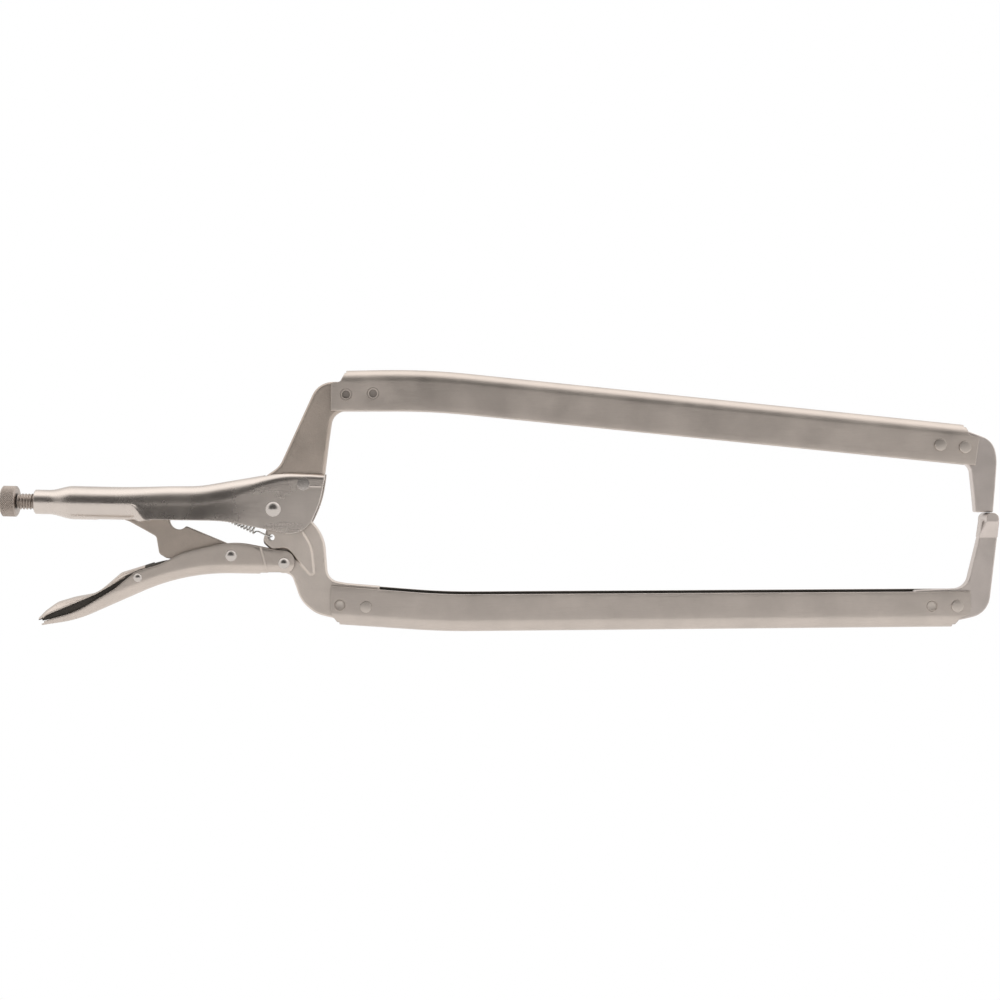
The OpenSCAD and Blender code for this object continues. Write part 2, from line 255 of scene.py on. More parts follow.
def plate(name, corners, thickness, edge, depth=None, segments=4, y=0.0):
    """A plate whose outer edges are rounded: edge is measured on its face and depth down its side."""
    depth = edge if depth is None else depth
    levels = []
    for step in range(segments + 1):
        angle = math.pi / 2 * step / segments
        levels.append((edge * (1 - math.sin(angle)), thickness / 2 - depth * (1 - math.cos(angle))))
    rings = []
    for inward, height in levels:
        outline = rounded(inset(corners, inward))
        rings.append([(p.x, y + height, p.y) for p in outline])
    for inward, height in reversed(levels):
        outline = rounded(inset(corners, inward))
        rings.append([(p.x, y - height, p.y) for p in outline])
    return new_object(name, lambda work: loft(work, rings))


def disc_points(at, radius, count=48):
    return [
        Vector((at[0] + radius * math.cos(2 * math.pi * i / count),
                at[1] + radius * math.sin(2 * math.pi * i / count)))
        for i in range(count)
    ]


def drill(made, holes):
    """Cuts round holes across the clamp, given as (place, radius)."""
    for place, radius in holes:
        carve(made, prism("cutter", disc_points(place, radius), -30, 30))


def turned(work, profile, at, segments=64, axis="Y"):
    """A turned solid. The profile is (radius, distance along the axis) from one end to the other."""
    rows = []
    for radius, distance in profile:
        count = 1 if radius < 1e-6 else segments
        row = []
        for i in range(count):
            angle = 2 * math.pi * i / segments
            u, v = radius * math.cos(angle), radius * math.sin(angle)
            point = (at[0] + u, distance, at[1] + v) if axis == "Y" else (distance, u, at[1] + v)
            row.append(work.verts.new(point))
        rows.append(row)
    for row, following in zip(rows, rows[1:]):
        for i in range(segments):
            j = (i + 1) % segments
            if len(row) == 1:
                work.faces.new((row[0], following[i], following[j]))
            elif len(following) == 1:
                work.faces.new((row[i], row[j], following[0]))
            else:
                work.faces.new((row[i], row[j], following[j], following[i]))


# ---- Materials -----------------------------------------------------------


def link_nodes(tree, *pairs):
    for start, end in pairs:
        tree.links.new(start, end)


def noise_node(tree, where, scale, detail=4.0, roughness=0.6, stretch=(1, 1, 1)):
    """Noise in the object's own space, stretched along an axis where a surface has a grain."""
    mapping = tree.nodes.new("ShaderNodeMapping")
    mapping.inputs["Scale"].default_value = stretch
    texture = tree.nodes.new("ShaderNodeTexNoise")
    texture.inputs["Scale"].default_value = scale
    texture.inputs["Detail"].default_value = detail
    texture.inputs["Roughness"].default_value = roughness
    link_nodes(
        tree,
        (where, mapping.inputs["Vector"]),
        (mapping.outputs["Vector"], texture.inputs["Vector"]),
    )
    return texture.outputs["Fac"]


def span(tree, value, low, high, to_low, to_high):
    """Maps a value from one span to another, clamped."""
    node = tree.nodes.new("ShaderNodeMapRange")
    node.inputs["From Min"].default_value = low
    node.inputs["From Max"].default_value = high
    node.inputs["To Min"].default_value = to_low
    node.inputs["To Max"].default_value = to_high
    link_nodes(tree, (value, node.inputs["Value"]))
    return node.outputs["Result"]


def between(tree, factor, first, second):
    """A number between two others, each of them a socket or a plain number."""
    node = tree.nodes.new("ShaderNodeMix")
    for socket, value in (("Factor", factor), ("A", first), ("B", second)):
        if isinstance(value, float):
            node.inputs[socket].default_value = value
        else:
            link_nodes(tree, (value, node.inputs[socket]))
    return node.outputs["Result"]


def blend_colours(tree, factor, first, second):
    node = tree.nodes.new("ShaderNodeMix")
    node.data_type = "RGBA"
    for socket, value in (("A", first), ("B", second)):
        target = [s for s in node.inputs if s.name == socket and s.type == "RGBA"][0]
        if isinstance(value, tuple):
            target.default_value = (*value, 1)
        else:
            link_nodes(tree, (value, target))
    link_nodes(tree, (factor, node.inputs["Factor"]))
    return [s for s in node.outputs if s.type == "RGBA"][0]


def plated_steel(name, colour, roughness, grain=0.06, stretch=(1, 1, 1), mottle=0.12, edge=0.8):
    """Nickel-plated steel with a fine grain, cloudy patches, painted shade in its corners and soft edges.

    The grain is the height of the bumps, the mottle how far the patches differ and the edge the
    radius of the edges in millimetres.
    """
    material = bpy.data.materials.new(name)
    material.use_nodes = True
    tree = material.node_tree
    shader = tree.nodes["Principled BSDF"]
    shader.inputs["Metallic"].default_value = 1.0
    where = tree.nodes.new("ShaderNodeTexCoord").outputs["Object"]

    clouds = noise_node(tree, where, 45, 5, 0.62)
    specks = noise_node(tree, where, 900, 3, 0.7, stretch)
    fine = noise_node(tree, where, 2600, 2, 0.6, stretch)

    dark = tuple(channel * (1 - mottle) for channel in colour)
    light = tuple(min(channel * (1 + mottle * 0.5), 1.0) for channel in colour)
    base = blend_colours(tree, span(tree, clouds, 0.3, 0.7, 0, 1), dark, light)
    base = blend_colours(tree, span(tree, specks, 0.52, 0.75, 0, 0.5), base, dark)

    # Painted shade: the colour falls to a third of itself where ambient occlusion finds surfaces within 4 mm.
    shade = tree.nodes.new("ShaderNodeAmbientOcclusion")
    shade.samples = 4
    shade.inputs["Distance"].default_value = 0.004
    corner_shade = tuple(channel * 0.35 for channel in colour)
    base = blend_colours(tree, span(tree, shade.outputs["AO"], 0.15, 0.75, 0, 1), corner_shade, base)
    link_nodes(tree, (base, shader.inputs["Base Color"]))

    gloss = span(tree, clouds, 0.25, 0.75, roughness - 0.05, roughness + 0.07)
    link_nodes(tree, (gloss, shader.inputs["Roughness"]))

    soft = tree.nodes.new("ShaderNodeBevel")
    soft.samples = 4
    soft.inputs["Radius"].default_value = edge * 0.001
    coarse_bump = tree.nodes.new("ShaderNodeBump")
    coarse_bump.inputs["Strength"].default_value = grain * 2
    coarse_bump.inputs["Distance"].default_value = 0.0004
    fine_bump = tree.nodes.new("ShaderNodeBump")
    fine_bump.inputs["Strength"].default_value = grain
    fine_bump.inputs["Distance"].default_value = 0.0002
    link_nodes(
        tree,
        (soft.outputs["Normal"], coarse_bump.inputs["Normal"]),
        (specks, coarse_bump.inputs["Height"]),
        (coarse_bump.outputs["Normal"], fine_bump.inputs["Normal"]),
        (fine, fine_bump.inputs["Height"]),
        (fine_bump.outputs["Normal"], shader.inputs["Normal"]),
    )
    return material


ALONG = (0.12, 1, 1)     # stretches a grain along the clamp, the way the sheet was rolled
FINISHES = {
    "handle_sheet": {"colour": (0.61, 0.55, 0.505), "roughness": 0.27, "grain": 0.035,
                     "stretch": ALONG, "mottle": 0.08},
    "arm_sheet": {"colour": (0.59, 0.525, 0.475), "roughness": 0.38, "stretch": ALONG, "mottle": 0.1},
    # Painted shade: a darker copy of arm_sheet for the lower arm's flats.
    "shaded_arm_sheet": {"colour": (0.56, 0.5, 0.455), "roughness": 0.38, "stretch": ALONG, "mottle": 0.1},
    "lever_sheet": {"colour": (0.58, 0.515, 0.465), "roughness": 0.34, "grain": 0.05, "mottle": 0.1},
    "forged_plate": {"colour": (0.50, 0.43, 0.375), "roughness": 0.42, "grain": 0.13, "mottle": 0.14},
    "bright_plate": {"colour": (0.67, 0.60, 0.545), "roughness": 0.42, "grain": 0.1, "mottle": 0.1},
    "tip_plate": {"colour": (0.61, 0.55, 0.515), "roughness": 0.36, "grain": 0.08, "mottle": 0.1},
    "rivet": {"colour": (0.54, 0.50, 0.47), "roughness": 0.2, "grain": 0.03, "mottle": 0.06,
              "edge": 0.15},
    "satin_rivet": {"colour": (0.60, 0.54, 0.49), "roughness": 0.34, "grain": 0.05, "mottle": 0.1,
                    "edge": 0.2},
    # A darker copy of the rivet steel, for the fixed arm's root rivets.
    "dark_rivet": {"colour": (0.36, 0.32, 0.29), "roughness": 0.4, "grain": 0.08, "mottle": 0.2,
                   "edge": 0.2},
    "screw_steel": {"colour": (0.42, 0.365, 0.325), "roughness": 0.34, "grain": 0.08, "edge": 0.12},
    "spring_wire": {"colour": (0.66, 0.64, 0.61), "roughness": 0.25, "grain": 0.03, "edge": 0.05},
    # Painted shade: a near-black finish for faces deep between walls, where shade falls.
    "painted_shade": {"colour": (0.10, 0.09, 0.08), "roughness": 0.55, "grain": 0.05, "edge": 0.1},
}
MATERIALS = {name: plated_steel(name, **finish) for name, finish in FINISHES.items()}
SLOT_OF = {part["node"]: part["material_slot"] for part in frame["record"]["subparts"]}
BODY_OF = {
    node: body for body, nodes in frame["record"]["behaviour"]["bodies"].items() for node in nodes
}


def soften(made, width, angle=50):
    """Rounds a finished piece's sharp edges, as tumbling does."""
    edges = made.modifiers.new("edges", "BEVEL")
    edges.width = width
    edges.segments = 2
    edges.limit_method = "ANGLE"
    edges.angle_limit = math.radians(angle)
    edges.miter_outer = "MITER_ARC"
    bake(made)


def hand_over(made, node, smooth_angle=32, ride=True, finish=None, painted_shade=None):
    """Moves a finished piece into the frame, in place of its CAD node and on its body.

    The finish replaces the node's own, and the face picker chooses the faces that get painted shade, a near-black
    finish.
    """
    work = bmesh.new()
    work.from_mesh(made.data)
    bmesh.ops.remove_doubles(work, verts=work.verts, dist=0.0005)
    bmesh.ops.dissolve_degenerate(work, edges=work.edges, dist=0.0005)
    work.to_mesh(made.data)
    work.free()
    made.data.materials.clear()
    made.data.materials.append(MATERIALS[finish or SLOT_OF[node]])
    # Painted shade: the picked faces get the near-black finish.
    if painted_shade:
        made.data.materials.append(MATERIALS["painted_shade"])
    for face in made.data.polygons:
        face.material_index = 1 if painted_shade and painted_shade(face) else 0
    made.data.transform(TO_FRAME)
    made.name = node + "_piece"
    made.data.shade_smooth()
    made.data.set_sharp_from_angle(angle=math.radians(smooth_angle))
    weighted = made.modifiers.new("weighted", "WEIGHTED_NORMAL")
    weighted.keep_sharp = True
    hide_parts(node)
    if ride:
        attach(made, BODY_OF[node])
    return made


# ---- Channel arms --------------------------------------------------------


def channel_half(top, lip, half_w, bend, fold, sheet, steps=10):
    """The outside and the inside of one half of a channel's section, from its lip to its web."""
    side = 1 if top > lip else -1
    inner_w = half_w - sheet
    inner_bend = max(bend - sheet, 0.4)
    inner_fold = max(fold - sheet, 0.4)
    lip_edge = min(0.45, sheet / 3)
    outer, inner = [], []
    for k in range(3):
        angle = math.pi / 2 * k / 2
        shift = lip_edge * (1 - math.sin(angle)), lip_edge * (1 - math.cos(angle))
        outer.append((half_w - shift[0], lip + side * shift[1]))
        inner.append((inner_w + shift[0], lip + side * shift[1]))
    for k in range(1, 5):
        outer.append((half_w, mix(lip + side * lip_edge, top - side * fold, k / 5)))
        inner.append((inner_w, mix(lip + side * lip_edge, top - side * (sheet + inner_fold), k / 5)))
    for k in range(steps + 1):
        angle = math.pi / 2 * k / steps
        outer.append((half_w - bend * (1 - math.cos(angle)), top - side * fold * (1 - math.sin(angle))))
        inner.append((inner_w - inner_bend * (1 - math.cos(angle)),
                      top - side * (sheet + inner_fold * (1 - math.sin(angle)))))
    return outer, inner


def channel_ring(x, top, lip, half_w, bend, sheet, fold=None, short=0.0):
    """The section of a channel at x: its web at top and its two lips at lip.

    The bend is how far a fold reaches across, and the fold how far it reaches down the wall.
    The front wall can be a little short of the back one.
    """
    fold = bend if fold is None else fold
    side = 1 if top > lip else -1
    outer, inner = channel_half(top, lip, half_w, bend, fold, sheet)
    front_outer, front_inner = channel_half(top, lip + side * short, half_w, bend, fold, sheet)
    right = outer + [(-y, z) for y, z in reversed(front_outer)]
    left = inner + [(-y, z) for y, z in reversed(front_inner)]
    return [Vector((x, y, z)) for y, z in right + list(reversed(left))]


def stations(low, high, step):
    count = max(int(round((high - low) / step)), 1)
    return [low + (high - low) * i / count for i in range(count + 1)]


def arm(name, top_path, lip_path, low_x, high_x, outline, web_ends, holes, short=0.0):
    """A bent channel, clipped to its outline, with its web cut back at both ends."""
    top, lip = open_path(top_path), open_path(lip_path)
    rings = [
        channel_ring(x, height_on(top, x), height_on(lip, x), ARM_W / 2, ARM_BEND, ARM_SHEET,
                     ARM_FOLD, short)
        for x in stations(low_x - 3, high_x + 3, 4.0)
    ]
    made = new_object(name, lambda work: loft(work, rings))
    carve(made, prism("cutter", rounded(outline), -20, 20), "INTERSECT")
    inner = ARM_W / 2 - ARM_SHEET + 0.02
    side = 1 if top[0].y > lip[0].y else -1
    beyond, root_margin, tip_margin = 30, 15, 8
    root_near = lip[0].y + side * root_margin
    tip_near = height_on(lip, web_ends[1][0]) + side * tip_margin
    for (start, end), near in zip(web_ends, (root_near, tip_near)):
        far = height_on(top, start) + side * beyond
        carve(made, block((start, -inner, min(near, far)), (end, inner, max(near, far))))
    soften(made, 0.25)
    drill(made, [(place, PIN_HOLE_R) for place in holes])
    return made


def inside_wall(face):
    """Whether a face is on the inside of one of a channel's two walls, where shade is painted on."""
    return abs(face.normal.y) > 0.9 and face.normal.y * face.center.y < 0


def fixed_arm():
    top = [(20, 84.4, 0), (92, 85.8, 450), (450, 48.9, 0)]
    lip = [(20, 60.0, 0), (96, 60.2, 450), (450, 24.6, 0)]
    outline = [
        (35, 40, 0.05), (35, 77.2, 1.5), (40.6, 77.8, 2), (43.4, 83.2, 1.2), (44.4, 95, 0.05),
        (423.2, 95, 0.05), (423.5, 50.6, 1.0), (425.8, 44.9, 3), (431.4, 43.6, 1), (428.0, 20, 0.05)
    ]
    made = arm("fixed_arm", top, lip, 35, 432, outline, [(30, 44.2), (422.6, 440)],
               FIXED_ROOT + FIXED_TIP)
    hand_over(made, "fixed_arm")


def movable_arm():
    top = [(20, -69.6, 0), (104, -75.2, 450), (450, -71.9, 0)]
    lip = [(20, -44.4, 0), (104, -51, 450), (450, -48.9, 0)]
    outline = [
        (35.1, -30, 0.05), (35.1, -64, 3), (38.8, -69.4, 1.2), (39.6, -90, 0.05), (416, -90, 0.05),
        (416.4, -71.4, 1.2), (419.8, -66.6, 3), (426, -64.4, 2), (426, -30, 0.05)
    ]
    made = arm("movable_arm", top, lip, 35, 426, outline, [(30, 40), (415.4, 440)],
               MOVABLE_ROOT + MOVABLE_TIP, short=1.35)
    # Painted shade: a darker copy of the arm sheet, and near-black on the insides of its walls.
    hand_over(made, "movable_arm", painted_shade=inside_wall, finish="shaded_arm_sheet")


# ---- Jaws and tips -------------------------------------------------------


def fixed_jaw():
    corners = [
        (-4.5, 13, 2), (-5, 20.4, 2), (3.2, 26, 14), (27, 77.8, 14), (40.5, 78, 2),
        (44.5, 81.6, 3), (66, 82, 2), (66, 60.4, 1.5), (36, 60, 9), (33.2, 40, 60),
        (30.6, 19, 30), (25.5, -1.5, 4), (13, 9.6, 6)
    ]
    root = [(-4.3, 13.2, 2), (-4.3, 17.2, 1), (29.4, 17.2, 1), (25, -1.2, 4), (13, 9.8, 6)]
    made = plate("fixed_jaw", corners, JAW_T, 2.2, 1.6)
    carve(made, plate("root", root, BOSS_T, 0.4), "UNION")
    drill(made, [(JAW_RIVET, 2.6)] + [(place, PIN_HOLE_R) for place in FIXED_ROOT])
    hand_over(made, "fixed_jaw")


def movable_jaw():
    hub = 9.5
    corners = [
        (-hub, hub, hub - 0.1), (-hub, -6, 4), (-4.4, -12, 3), (-7, -20.4, 4),
        (-0.4, -25.6, 3), (0.8, -39.2, 5.5), (10.6, -39.4, 6), (16.4, -56.5, 20), (25.5, -64.2, 20),
        (46, -69.2, 8), (64.5, -69.6, 2), (64.5, -47.3, 0.6), (44, -45.6, 3), (32.6, -43.6, 8),
        (30.6, -16.5, 26), (20.5, -5, 6), (hub, -1, 4), (hub, hub, hub - 0.1)
    ]
    pad = [
        (-hub, hub, hub - 0.1), (-hub, -6, 4), (-4.4, -12, 3), (-7, -20.4, 4),
        (-1.2, -25.4, 2.5), (7.6, -24.4, 5), (25.9, -45.8, 2.4), (23.6, -22.5, 25), (13, -6, 4),
        (hub, -1, 4), (hub, hub, hub - 0.1)
    ]
    made = plate("movable_jaw", corners, JAW_T, 1.3, 1.3)
    carve(made, plate("pad", pad, BOSS_T, 1.25, 1.1, segments=1), "UNION")
    drill(made, [(MAIN_PIVOT, 3.23), (LEVER_PIVOT, 2.53), (SPRING_EYE, 2.0)])
    drill(made, [(place, PIN_HOLE_R) for place in MOVABLE_ROOT])
    hand_over(made, "movable_jaw", finish="bright_plate")


def fixed_tip():
    end_z = GRIP_Z + TIP_GAP / 2
    corners = [
        (399, 49.9, 1.5), (426, 47.3, 4), (440.2, 42, 12), (442.9, 31, 30),
        (441.7, 14, 30), (440.4, end_z, 0.9), (429.6, end_z, 0.9),
        (428.7, 8, 30), (426.6, 28, 7), (412, 29.2, 10), (399, 31.2, 2)
    ]
    made = plate("fixed_tip", corners, JAW_T, 0.7)
    drill(made, [(place, PIN_HOLE_R) for place in FIXED_TIP])
    hand_over(made, "fixed_tip")


def movable_tip():
    end_z = GRIP_Z - TIP_GAP / 2
    foot, flare = 15.3, 9.8
    base = end_z - foot
    corners = [
        (392, -68.8, 1.5), (420, -68, 8), (437.4, -64, 14), (442.9, base, 0.05),
        (441.4, end_z - 4, 3), (433.4, end_z - 4, 3), (431.8, base, 10),
        (424.2, -48.6, 9), (392, -49.8, 2)
    ]
    nose = [
        (431.6, base, 0.5), (443, base, 0.5), (REACH + NOSE_R, end_z - NOSE_R - 2, 8),
        (REACH + NOSE_R, end_z, NOSE_R - 0.05), (REACH - NOSE_R, end_z, NOSE_R - 0.05),
        (REACH - NOSE_R, end_z - NOSE_R - 2, 8)
    ]
    half_w = NOSE_W / 2
    widening = [
        Vector((-JAW_T / 2, base)), Vector((-half_w, base + flare)), Vector((-half_w, base + foot)),
        Vector((half_w, base + foot)), Vector((half_w, base + flare)), Vector((JAW_T / 2, base))
    ]
    made = plate("movable_tip", corners, JAW_T, 0.7)
    pad = plate("nose", nose, NOSE_W, 0.5)
    carve(pad, prism("cutter", widening, REACH - 20, REACH + 20, "X"), "INTERSECT")
    carve(made, pad, "UNION")
    drill(made, [(place, PIN_HOLE_R) for place in MOVABLE_TIP])
    hand_over(made, "movable_tip")


# ---- Handle --------------------------------------------------------------


def smooth(value, low, high):
    share = min(max((value - low) / (high - low), 0), 1)
    return share * share * (3 - 2 * share)


def mix(first, second, share):
    return first + (second - first) * share


def half_section(top, bottom, top_w, bottom_w, shoulder, bottom_bend, steps=12):
    """Half of a rolled section, from the middle of its bottom round to the middle of its top.

    The shoulder is how far down the wall the roundness of its top reaches.
    """
    path = [Vector((0, bottom))]
    for k in range(steps + 1):
        angle = math.pi / 2 * k / steps
        across_gap, up_gap = 1 - math.sin(angle), 1 - math.cos(angle)
        path.append(Vector((bottom_w - bottom_bend * across_gap, bottom + bottom_bend * up_gap)))
    low, high = bottom + bottom_bend, top - shoulder
    for k in range(1, steps):
        share = k / steps
        path.append(Vector((mix(bottom_w, top_w, smooth(share, 0, 1)), mix(low, high, share))))
    across = min(shoulder, top_w - 0.001)
    for k in range(steps + 1):
        angle = math.pi / 2 * k / steps
        across_gap, up_gap = 1 - math.cos(angle), 1 - math.sin(angle)
        path.append(Vector((top_w - across * across_gap, top - shoulder * up_gap)))
    path.append(Vector((0, top)))
    return path


def trimmed(path, index, share):
    """The path with everything before a place on it drawn up to that place."""
    start = path[index].lerp(path[index + 1], share)
    return [start] * (index + 1) + path[index + 1:]


def place_on(path, length):
    """Where a length along a path falls, as the index of a stretch and the share of it."""
    for index, (first, second) in enumerate(zip(path, path[1:])):
        stretch = (second - first).length
        if length <= stretch:
            return index, length / max(stretch, 1e-9)
        length -= stretch
    return len(path) - 2, 1.0


def rolled_ring(x, top, bottom, top_w, bottom_w, shoulder, bottom_bend, cut, sheet):
    """One section of the handle's sheet. cut is the length that the bottom slot takes from each half."""
    outer = half_section(top, bottom, top_w, bottom_w, shoulder, bottom_bend)
    inner = half_section(top - sheet, bottom + sheet, top_w - sheet, bottom_w - sheet,
                         shoulder - sheet, bottom_bend - sheet)
    index, share = place_on(outer, cut)
    outer = trimmed(outer, index, share)
    inner = trimmed(inner, index, share)
    ring = outer + [Vector((-p.x, p.y)) for p in reversed(outer[:-1])]
    back = inner + [Vector((-p.x, p.y)) for p in reversed(inner[:-1])]
    return [Vector((x, p.x, p.y)) for p in ring + list(reversed(back))]


def axis_height(x):
    return AXIS_AT[1] + (AXIS_AT[0] - x) * math.tan(AXIS_TILT)


def upper_handle():
    top_path = open_path([(-160, 13.8, 0), (-46, 14, 70), (6, 22.8, 60), (40, 20.6, 0)])
    bottom_path = open_path([(-160, -6.6, 0), (-30, -7.2, 100), (9, -15.4, 0), (40, -15.4, 0)])
    shoulders = open_path([
        (-160, 10.2, 0), (-60, 11, 20), (-24, 11, 10), (-8, 7, 10), (24, 3.5, 5), (40, 3.5, 0)
    ])
    seam = 0.04
    lip_bend = HANDLE_SHEET + 0.4
    end_chamfer = 0.5
    places = [NECK_X, NECK_X + end_chamfer] + stations(NECK_X + 1.5, 34, 1.5)
    rings = []
    for x in places:
        tube = 1 - smooth(x, -104, -60)
        splay = 1 - smooth(x, -104, 14)
        opened = smooth(x, -87, -77)
        radius = mix(NECK_R, TUBE_R, smooth(x, *FLARE_X)) - (end_chamfer if x == NECK_X else 0)
        top = mix(height_on(top_path, x), axis_height(x) + radius, tube)
        bottom = mix(axis_height(x) - radius, height_on(bottom_path, x) - lip_bend, opened)
        top_w = mix(HANDLE_W / 2, radius, tube)
        bottom_w = mix(HANDLE_W / 2, radius, splay)
        shoulder = mix(height_on(shoulders, x), radius, tube) - 0.001
        bottom_bend = mix(radius, lip_bend, opened) - 0.001
        whole_cut = bottom_w - bottom_bend + bottom_bend * math.pi / 2
        sheet = min(HANDLE_SHEET, radius - THREAD_R)
        rings.append(rolled_ring(x, top, bottom, top_w, bottom_w, shoulder, bottom_bend,
                                 mix(seam, whole_cut, opened), sheet))
    made = new_object("upper_handle", lambda work: loft(work, rings))
    outline = [
        (-170, 40, 0.05), (31.2, 40, 0.05), (31.4, 21.3, 1.2), (28.8, 4.5, 60), (18.8, -17.2, 15),
        (-30, -7.2, 100), (-75, -6.6, 0.05), (-92, -30, 0.05), (-170, -30, 0.05)
    ]
    carve(made, prism("cutter", rounded(outline), -20, 20), "INTERSECT")
    web_slot = block((-6, -JAW_T / 2 - 0.1, 13), (40, JAW_T / 2 + 0.1, 60))
    carve(made, web_slot)
    slot_w = LINK_T + 1.4
    link_slot = [(-110, -slot_w / 2, slot_w / 2 - 0.05), (-60, -slot_w / 2, 0.05),
                 (-60, slot_w / 2, 0.05), (-110, slot_w / 2, slot_w / 2 - 0.05)]
    carve(made, prism("cutter", rounded(link_slot), -30, AXIS_AT[1], "Z"))
    tab = [(-54, 13, 0.05), (-46, 13, 0.05), (-46, 2, 3.5), (-54, 2, 3.5)]
    hook_tab = plate("tab", tab, 2, 0.3)
    drill(hook_tab, [(SPRING_ANCHOR, 1.6)])
    carve(made, hook_tab, "UNION")
    rib = [(19, 14.9, 0.6), (29.2, 14.6, 0.6), (29, 13.3, 0.6), (19, 13.6, 0.6)]
    carve(made, plate("rib", rib, HANDLE_W + 0.5, 0.6, 0.25), "UNION")
    carve(made, block((-4, -JAW_T / 2 - 1.2, 10), (34, JAW_T / 2 + 1.2, 17)))
    soften(made, 0.3)
    drill(made, [(MAIN_PIVOT, 3.2), (JAW_RIVET, 2.6)])
    hand_over(made, "upper_handle")


# ---- Lever, link and release lever ---------------------------------------


def lever():
    top_path = open_path([
        (-150, -70.9, 0), (-143, -69.2, 0.3), (-120, -62.4, 60), (-97, -48.6, 30), (-84, -38, 12),
        (-70, -34, 30), (-55, -26.4, 50), (-26, -19.8, 50), (2, -25.2, 12), (20, -26, 0)
    ])
    bottom_path = open_path([
        (-150, -71.6, 0), (-143, -71.2, 4), (-121, -68, 70), (-54.8, -39, 130), (-4, -39.8, 2),
        (20, -39.8, 0)
    ])
    rings = []
    for x in stations(-144, -11, 1.0) + stations(-10.8, 0, 0.2) + stations(1, 14, 1.0):
        lip, web = height_on(top_path, x), height_on(bottom_path, x)
        depth = lip - web
        bend = min(mix(LEVER_BEND, 7.0, smooth(-x, 60, 110)), depth * 0.8)
        sheet = min(LEVER_SHEET, depth * 0.42)
        ring = channel_ring(x, web, lip, LEVER_W / 2, bend, sheet)
        for point in ring:
            crease = -7.2 + (-26.1 - point.z) * 0.286
            narrowed = smooth(point.x, crease - 0.45, crease + 0.45)
            point.y *= 1 - narrowed * (1 - EAR_W / LEVER_W)
        rings.append(ring)
    made = new_object("lever", lambda work: loft(work, rings))
    ear_r = 6.4
    ear_x, ear_z = LEVER_PIVOT
    outline = [
        (-143, -60, 0.05), (-143, -90, 0.05), (-3.7, -90, 0.05), (-3.4, -39.3, 0.8), (-1.6, -38.9, 2),
        (ear_x - 2, ear_z - ear_r, 4), (ear_x + ear_r, ear_z - ear_r, ear_r - 0.05),
        (ear_x + ear_r, ear_z + ear_r, ear_r - 0.05), (-1, ear_z + ear_r + 2.4, 8), (-6, -10, 0.05),
        (-143, -10, 0.05)
    ]
    carve(made, prism("cutter", rounded(outline), -20, 20), "INTERSECT")
    half_gap = JAW_T / 2 + 0.25
    carve(made, block((-9, -half_gap, -50), (30, half_gap, -10)))
    tail = [(-142.9, -7.4, 6.5), (40, -7.4, 0.05), (40, 7.4, 0.05), (-142.9, 7.4, 6.5)]
    carve(made, prism("cutter", rounded(tail), -90, 0, "Z"), "INTERSECT")
    soften(made, 0.3)
    drill(made, [(LEVER_PIVOT, 2.5), (LINK_PIVOT, 2.5), (RELEASE_PIVOT, 1.8)])
    hand_over(made, "lever")


def link():
    x, z = LINK_PIVOT
    heel_x, heel_z = LINK_HEEL
    corners = [
        (heel_x - 5, heel_z - 5, 4.9), (-88.8, -7.7, 6), (-72.4, -16.8, 3), (-70.6, -27.4, 3),
        (-66.4, -30, 4), (-50, -33, 10), (x - 1, z - 6.6, 6), (x + 6.6, z - 3, 6), (x + 4, z + 6.4, 5),
        (-27, -21.9, 3), (-52.8, -11.2, 1.5), (-64.6, -6.9, 1.5), (heel_x + 6, heel_z + 6.5, 5),
        (heel_x - 5, heel_z + 5, 4.9)
    ]
    made = plate("link", corners, LINK_T, 0.35)
    drill(made, [((-58.6, -6.6), 6), (LINK_PIVOT, 2.53)])
    hand_over(made, "link")


def between_walls(face):
    """Whether a face of the release lever lies in the shade between the lever's walls, which is painted on it."""
    inside = abs(face.center.y) < 4.7
    return inside and (face.center.x > -79 or abs(face.normal.y) > 0.98 or face.normal.z < -0.3)


